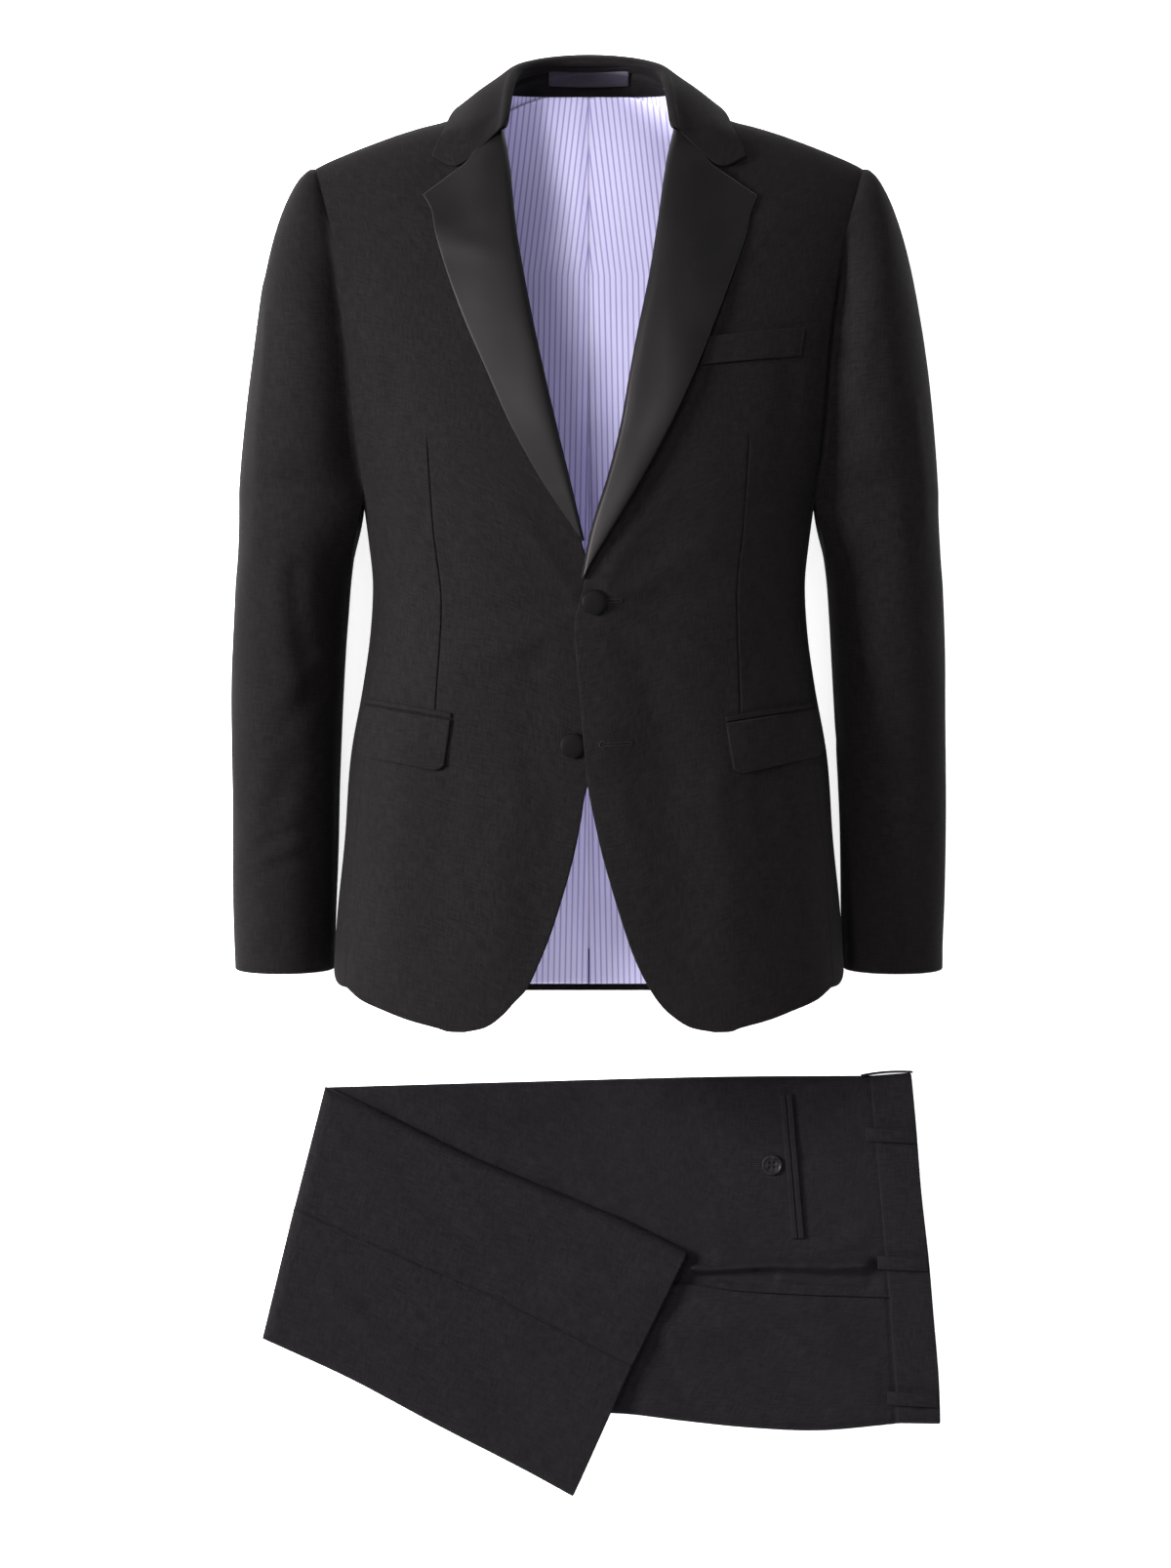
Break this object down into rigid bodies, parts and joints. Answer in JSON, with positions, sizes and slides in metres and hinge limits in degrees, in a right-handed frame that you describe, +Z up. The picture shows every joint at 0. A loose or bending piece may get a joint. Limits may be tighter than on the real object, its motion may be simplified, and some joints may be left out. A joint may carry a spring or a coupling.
{
  "type": "tuxedo",
  "caption": "Black single-breasted dinner jacket with satin notch lapels, filled out and lying on its back, with matching folded trousers below its hem.",
  "frame": {"origin": "centre of the pair's outline on the surface that both garments lie on", "axes": "+Z up from the surface, +Y from the trousers towards the jacket's collar, +X towards the side of the breast pocket"},
  "size_m": [0.5884, 1.1872, 0.2402],
  "materials": {
    "wool": "matt fine worsted",
    "satin": "satin",
    "covered_button": "satin cover",
    "button": "polished",
    "lining": "smooth, fine lengthwise stripes",
    "loop": "satin"
  },
  "bodies": {
    "root": {"back_left": "wool", "back_right": "wool", "belt_loop_1": "wool", "belt_loop_2": "wool", "belt_loop_3": "wool", "belt_loop_4": "wool", "breast_welt": "wool", "button_lower": "covered_button", "button_upper": "covered_button", "collar": "wool", "front_left": "wool", "front_right": "wool", "hanger_loop": "loop", "lapel_left": "satin", "lapel_right": "satin", "leg_back": "wool", "leg_front": "wool", "leg_layers": "wool", "lining_left": "lining", "lining_right": "lining", "neck_facing": "wool", "pocket_button": "button", "pocket_flap_left": "wool", "pocket_flap_right": "wool", "pocket_jet_left": "wool", "pocket_jet_right": "wool", "pocket_welt_inner": "wool", "pocket_welt_outer": "wool", "seat_layers": "wool", "side_left": "wool", "side_right": "wool", "top_sleeve_left": "wool", "top_sleeve_right": "wool", "trouser_back_left": "wool", "trouser_back_right": "wool", "under_sleeve_left": "wool", "under_sleeve_right": "wool", "waistband": "wool"}
  },
  "joints": []
}
